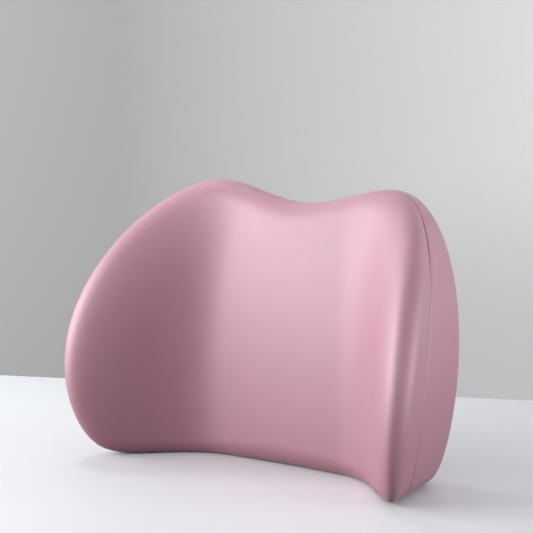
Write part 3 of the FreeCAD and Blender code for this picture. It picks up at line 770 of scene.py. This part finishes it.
def pillow_patch(name):
    """A square of doubled cover cloth with its edges folded under."""
    low, high = lying(f"strap_patch_{name}")
    bm = bmesh.new()
    middle = (low + high) / 2
    spread = Matrix.Diagonal((high.x - low.x, high.y - low.y, high.z - low.z, 1))
    bmesh.ops.create_cube(bm, size=1, matrix=Matrix.Translation(middle) @ spread)
    flat = [edge for edge in bm.edges if abs((edge.verts[0].co - edge.verts[1].co).y) < 1e-6]
    bmesh.ops.subdivide_edges(bm, edges=flat, cuts=PATCH_CUTS, use_grid_fill=True)
    for vert in bm.verts:
        if vert.co.y < middle.y:
            continue
        edge = max(abs(vert.co.x - middle.x), abs(vert.co.z - middle.z)) / (high.x - middle.x)
        sewn = math.exp(-((edge - PATCH_SEWN_AT) / PATCH_SEWN_SPREAD) ** 2)
        vert.co.y -= (high.y - low.y) * (PATCH_EDGE_DROP * edge ** 8 + PATCH_SEWN_DROP * sewn)
    piece = rounded(on_panel(f"patch_{name}", bm, COVER_KNIT), 2)
    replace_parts(piece, f"strap_patch_{name}")
    hem = bmesh.new()
    inset_by = (high.x - low.x) * PATCH_HEM_INSET
    stitched_box(
        hem, (low.x + inset_by, low.z + inset_by), (high.x - inset_by, high.z - inset_by),
        high.y - (high.y - low.y) * PATCH_HEM_DROP,
    )
    on_panel(f"patch_hem_{name}", hem, THREAD)
    stitch_low, stitch_high = lying(f"strap_stitch_{name}")
    cross = bmesh.new()
    out = stitch_low.y + THREAD_RADIUS / 2
    stitched_box(cross, (stitch_low.x, stitch_low.z), (stitch_high.x, stitch_high.z), out)
    stitch_line(cross, (stitch_low.x, out, stitch_low.z), (stitch_high.x, out, stitch_high.z))
    stitch_line(cross, (stitch_low.x, out, stitch_high.z), (stitch_high.x, out, stitch_low.z))
    sewn = on_panel(f"box_and_cross_{name}", cross, THREAD)
    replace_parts(sewn, f"strap_stitch_{name}")


pillow_patch("left")
pillow_patch("right")

WEBBING = woven("elastic_webbing", (0.40, 0.175, 0.235, 1), 0.0012, 0.0011, 0.00025)
band_low, band_high = lying("strap_webbing_left")
STRAP_HALF = (band_high.z - band_low.z) / 2
STRAP_UP = (band_high.z + band_low.z) / 2
STRAP_THICK = 0.0015
PATCH_TOP = lying("strap_patch_left")[1].y
BAND_OUT = PATCH_TOP + STRAP_THICK / 2
SOCKET_BAR = -0.032
PLUG_BAR = 0.026
BAR_OUT = 0.0051
BEND = BAR_OUT - BAND_OUT
SELVEDGE = 12


def band(name, route, body=None):
    """Flat webbing along a route of places along and out of the panel, with round selvedges."""
    bm = bmesh.new()
    half = STRAP_THICK / 2
    ring = []
    for i in range(SELVEDGE):
        turn = math.tau * i / SELVEDGE
        up = math.cos(turn) * half + math.copysign(STRAP_HALF - half, math.cos(turn))
        ring.append((math.sin(turn) * half, up))
    rows = []
    for i, (along, out) in enumerate(route):
        before, after = route[max(i - 1, 0)], route[min(i + 1, len(route) - 1)]
        way = Vector((after[0] - before[0], after[1] - before[1])).normalized()
        rows.append([(along - way.y * a, out + way.x * a, STRAP_UP + b) for a, b in ring])
    first = [bm.verts.new(point) for point in rows[0]]
    edges = [bm.edges.new((first[i - 1], first[i])) for i in range(SELVEDGE)]
    bmesh.ops.edgeloop_fill(bm, edges=edges)
    numbers = {tuple(vert.co): i for i, vert in enumerate(first)}
    for row in rows[1:]:
        made = bmesh.ops.extrude_edge_only(bm, edges=edges)["geom"]
        verts = {item: numbers[tuple(item.co)] for item in made if isinstance(item, bmesh.types.BMVert)}
        for vert, number in verts.items():
            vert.co = row[number]
        numbers = {tuple(vert.co): number for vert, number in verts.items()}
        edges = [item for item in made if isinstance(item, bmesh.types.BMEdge) and item.is_boundary]
    bmesh.ops.edgeloop_fill(bm, edges=edges)
    bmesh.ops.recalc_face_normals(bm, faces=bm.faces)
    piece = on_panel(name, bm, WEBBING, body)
    return piece


def line(start, end, steps):
    return [tuple(Vector(start).lerp(Vector(end), i / steps)) for i in range(steps + 1)]


def half_round(along, side, steps=10):
    """Round a bar: from the band's level near the panel out to the returning level."""
    return [
        (along + side * BEND * math.sin(math.pi * i / steps), BAR_OUT - BEND * math.cos(math.pi * i / steps))
        for i in range(1, steps)
    ]


ADJUSTER_HOLDS = 0.002
left_start = band_low.x
adjuster_low, adjuster_high = lying("strap_adjuster")
adjuster_middle = (adjuster_low.x + adjuster_high.x) / 2
return_out = BAR_OUT + BEND
left_route = line((left_start, BAND_OUT), (SOCKET_BAR, BAND_OUT), 40) + half_round(SOCKET_BAR, 1)[:5]
left_band = band("band_left", left_route)
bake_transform(left_band)
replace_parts(left_band, "strap_webbing_left")
RETURN_END_OUT = 0.0018
return_end = (adjuster_middle + ADJUSTER_HOLDS, BAND_OUT + RETURN_END_OUT)
return_route = half_round(SOCKET_BAR, 1)[4:] + line((SOCKET_BAR, return_out), return_end, 24)
return_band = band("band_return", return_route)
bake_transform(return_band)

right_end = lying("strap_webbing_right")[1].x
BAND_SPLIT = 0.088
TAIL = 0.021
TAIL_DOWN = 0.75
TAIL_FLAT = 0.8
outer_band = band("band_right", line((right_end, BAND_OUT), (BAND_SPLIT, BAND_OUT), 24))
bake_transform(outer_band)
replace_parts(outer_band, "strap_webbing_right")
plug_route = line((BAND_SPLIT, BAND_OUT), (PLUG_BAR, BAND_OUT), 20) + half_round(PLUG_BAR, -1)
tail_out = BAND_OUT + STRAP_THICK
plug_route += line((PLUG_BAR, return_out), (PLUG_BAR + TAIL * TAIL_DOWN, tail_out), 8)
plug_route += line((PLUG_BAR + TAIL * TAIL_FLAT, tail_out), (PLUG_BAR + TAIL, tail_out), 3)
plug_band = band("band_plug", plug_route)
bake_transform(plug_band)
TACK_AT = 0.88
TACK_PITCH = 0.0006
TACK_REACH = 0.8
bm = bmesh.new()
bar_tack = PLUG_BAR + TAIL * TACK_AT
for place in (bar_tack - TACK_PITCH, bar_tack, bar_tack + TACK_PITCH):
    out = BAND_OUT + STRAP_THICK * 1.5 + THREAD_RADIUS / 2
    reach = STRAP_HALF * TACK_REACH
    stitch_line(bm, (place, out, STRAP_UP - reach), (place, out, STRAP_UP + reach))
on_panel("plug_bartack", bm, THREAD, "plug")

# ---- Side-release buckle and slide ----
# Moulded acetal in a rose grey. The socket is a flat box with a window in each side; the plug's two
# sprung arms snap into the windows and are squeezed towards each other to let it out.

BUCKLE_PLASTIC = coated("buckle_plastic", (0.36, 0.20, 0.24, 1), 0.42, 1800.0)
for node in ("buckle_socket", "strap_adjuster"):
    nodes[node].data.materials.clear()
    nodes[node].data.materials.append(BUCKLE_PLASTIC)
ARMS_BESIDE = 0.00015
ARMS_FROM = lying("buckle_socket")[1].x + ARMS_BESIDE
GUIDE_REACH = 0.005


def plug_part(name, arms):
    """The plug's two arms, or the rest of it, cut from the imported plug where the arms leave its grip."""
    bm = bmesh.new()
    bm.from_mesh(nodes["buckle_plug"].data)
    bmesh.ops.remove_doubles(bm, verts=bm.verts, dist=1e-6)
    bmesh.ops.transform(bm, matrix=PANEL.inverted(), verts=bm.verts)
    geom = list(bm.verts) + list(bm.edges) + list(bm.faces)
    bmesh.ops.bisect_plane(bm, geom=geom, plane_co=(ARMS_FROM, 0, 0), plane_no=(1, 0, 0), dist=1e-7)
    gone = []
    for face in bm.faces:
        middle = face.calc_center_median()
        is_arm = middle.x < ARMS_FROM and abs(middle.z - STRAP_UP) > GUIDE_REACH
        if is_arm != arms:
            gone.append(face)
    bmesh.ops.delete(bm, geom=gone, context="FACES")
    bmesh.ops.holes_fill(bm, edges=[edge for edge in bm.edges if edge.is_boundary])
    bmesh.ops.recalc_face_normals(bm, faces=bm.faces)
    piece = on_panel(name, bm, BUCKLE_PLASTIC, "plug", smooth=False)
    return piece


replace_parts(plug_part("plug_body", False), "buckle_plug")
plug_arms = plug_part("plug_arms", True)
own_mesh(plug_arms)

# ---- Care label ----
# A blank woven satin label below the zip. It is sewn on by its top edge only, so its foot stands a
# little proud of the cover and waves.

LABEL_CURL = 0.0016
LABEL_WAVE = 0.3
LABEL_WAVES_PER_M = 260
LABEL_WALL = 0.0003
LABEL_HEM = 0.0015
LABEL_EDGE = 0.001


def satin():
    """White satin with fine cross threads."""
    material, tree, shader = finish_of("label_satin", Roughness=0.38, Sheen_Weight=0.25)
    place = add(tree, "ShaderNodeTexCoord").outputs["Object"]
    white = (0.83, 0.82, 0.80, 1)
    shade = placed_effect(tree, UNEVEN_SHADE, Vector=place, Color=white, Size=0.01, Depth=0.1)
    tree.links.new(shade["Color"], shader.inputs["Base Color"])
    ribs = placed_effect(tree, WOVEN_RIBS, Vector=place, Rib=0.0004, Pick=0.0005)
    bumped(tree, shader, ribs["Height"], 0.00006)
    return material


label_low, label_high = lying("care_label")
label_middle = (label_low + label_high) / 2
width, height = label_high.x - label_low.x, label_high.z - label_low.z
bm = bmesh.new()
upright = Matrix.Rotation(math.pi / 2, 4, "X")
spread = Matrix.Translation(label_middle) @ Matrix.Diagonal((width / 2, 1, height / 2, 1)) @ upright
bmesh.ops.create_grid(bm, x_segments=16, y_segments=12, size=1, matrix=spread)
for vert in bm.verts:
    down = (label_high.z - vert.co.z) / height
    wave = 1 + LABEL_WAVE * math.sin(vert.co.x * LABEL_WAVES_PER_M)
    vert.co.y = label_high.y + LABEL_CURL * down ** 2 * wave
bmesh.ops.recalc_face_normals(bm, faces=bm.faces)
label = on_panel("blank_label", bm, satin())
wall = label.modifiers.new("wall", "SOLIDIFY")
wall.thickness = LABEL_WALL
wall.offset = 0
rounded(label)
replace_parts(label, "care_label")
bm = bmesh.new()
sewn_at = label_high.z - LABEL_HEM
sewn_out = label_high.y + LABEL_WALL
sewn_from, sewn_to = label_low.x + LABEL_EDGE, label_high.x - LABEL_EDGE
stitch_line(bm, (sewn_from, sewn_out, sewn_at), (sewn_to, sewn_out, sewn_at))
on_panel("label_stitches", bm, THREAD)

# ---- Floor, wall, light and camera ----
# A plain white table top and a light grey wall with painted light, lighter to the right, one large soft
# light from the left of the camera, a small one high up beside the left wing, a weak one low on the right,
# and a long lens a little above the cushion's top.

TARGET = Vector((0, 0.02385, 0.1485))
AZIMUTH = math.radians(36)
ELEVATION = math.radians(9.6)
DISTANCE = 1.8775
LENS_LENGTH = 120.28
RIGHT_OF_TARGET = -0.0151
ABOVE_TARGET = 0.065
toward = Vector((
    math.sin(AZIMUTH) * math.cos(ELEVATION), -math.cos(AZIMUTH) * math.cos(ELEVATION), math.sin(ELEVATION)
))
lens = bpy.data.cameras.new("camera")
lens.lens = LENS_LENGTH
camera = bpy.data.objects.new("camera", lens)
bpy.context.scene.collection.objects.link(camera)
bpy.context.scene.camera = camera
camera.rotation_mode = "QUATERNION"
camera.location = TARGET + toward * DISTANCE
aim = (TARGET - camera.location).to_track_quat("-Z", "Y")
aimed_at = TARGET + aim @ Vector((RIGHT_OF_TARGET, ABOVE_TARGET, 0))
camera.rotation_quaternion = (aimed_at - camera.location).to_track_quat("-Z", "Y")


def flat_sheet(name, matrix, material):
    """A large square sheet of the setting."""
    bm = bmesh.new()
    bmesh.ops.create_grid(bm, x_segments=1, y_segments=1, size=SHEET_SIZE / 2, matrix=matrix)
    shown(name, bm, material, body=None, smooth=False)


SHEET_SIZE = 12
WALL_BEHIND = 0.41
WALL_TURN = math.radians(-13)
WALL_LIGHT_SPAN = 0.3


def table_white():
    """White laminate, made less bright for light that goes on to the cushion than for the eye."""
    material, tree, shader = finish_of("table_white", Roughness=0.5)
    path = add(tree, "ShaderNodeLightPath")
    color = add(
        tree, "ShaderNodeMix",
        {0: path.outputs["Is Camera Ray"], 6: (0.18, 0.18, 0.185, 1), 7: (0.86, 0.88, 0.91, 1)},
        data_type="RGBA",
    )
    tree.links.new(color.outputs[2], shader.inputs["Base Color"])
    return material


def wall_grey_painted_light(along):
    """Light grey paint with painted light that gets lighter to the right, where the light falls, and can't
    be seen from behind.
    """
    material, tree, shader = finish_of("wall_grey_painted_light", Roughness=0.8)
    place = add(tree, "ShaderNodeTexCoord").outputs["Object"]
    across = add(tree, "ShaderNodeVectorMath", {0: place, 1: along}, operation="DOT_PRODUCT")
    share = add(tree, "ShaderNodeMapRange", {0: across.outputs["Value"], 1: -WALL_LIGHT_SPAN, 2: WALL_LIGHT_SPAN})
    # Painted light: the colour runs from darker at the left to lighter at the right across the wall, as the
    # light falls on it.
    painted_light_ends = {0: share.outputs[0], 6: (0.40, 0.40, 0.40, 1), 7: (0.95, 0.95, 0.95, 1)}
    color = add(tree, "ShaderNodeMix", painted_light_ends, data_type="RGBA")
    tree.links.new(color.outputs[2], shader.inputs["Base Color"])
    side = add(tree, "ShaderNodeNewGeometry").outputs["Backfacing"]
    clear = add(tree, "ShaderNodeBsdfTransparent").outputs[0]
    either = add(tree, "ShaderNodeMixShader", {0: side, 1: shader.outputs[0], 2: clear})
    surface = next(node for node in tree.nodes if node.type == "OUTPUT_MATERIAL")
    tree.links.new(either.outputs[0], surface.inputs["Surface"])
    return material


flat_sheet("table_top", Matrix(), table_white())
behind = Vector((-math.sin(AZIMUTH), math.cos(AZIMUTH), 0))
wall_place = Matrix.Translation(TARGET + behind * WALL_BEHIND) @ Matrix.Rotation(AZIMUTH + WALL_TURN, 4, "Z")
flat_sheet("back_wall", wall_place @ upright, wall_grey_painted_light(wall_place.col[0].xyz))


def soft_light(name, azimuth, elevation, distance, width, height, power):
    """A rectangular light aimed at the cushion, placed by its direction in degrees."""
    turn, rise = math.radians(azimuth), math.radians(elevation)
    away = Vector((math.sin(turn) * math.cos(rise), -math.cos(turn) * math.cos(rise), math.sin(rise)))
    data = bpy.data.lights.new(name, "AREA")
    data.shape = "RECTANGLE"
    data.size = width
    data.size_y = height
    data.energy = power
    light = bpy.data.objects.new(name, data)
    light.location = TARGET + away * distance
    light.rotation_mode = "QUATERNION"
    light.rotation_quaternion = away.to_track_quat("Z", "Y")
    bpy.context.scene.collection.objects.link(light)


soft_light("key", azimuth=-53, elevation=17, distance=1.6, width=2.4, height=0.9, power=40)
soft_light("window", azimuth=-112, elevation=50, distance=1.1, width=0.4, height=0.4, power=9)
soft_light("fill", azimuth=100, elevation=8, distance=2.0, width=1.0, height=0.6, power=15)
world = bpy.data.worlds.new("room")
world.use_nodes = True
daylight = world.node_tree.nodes["Background"].inputs
daylight["Color"].default_value = (0.90, 0.95, 1.0, 1)
daylight["Strength"].default_value = 0.45
bpy.context.scene.world = world
bpy.context.scene.view_settings.view_transform = "Standard"
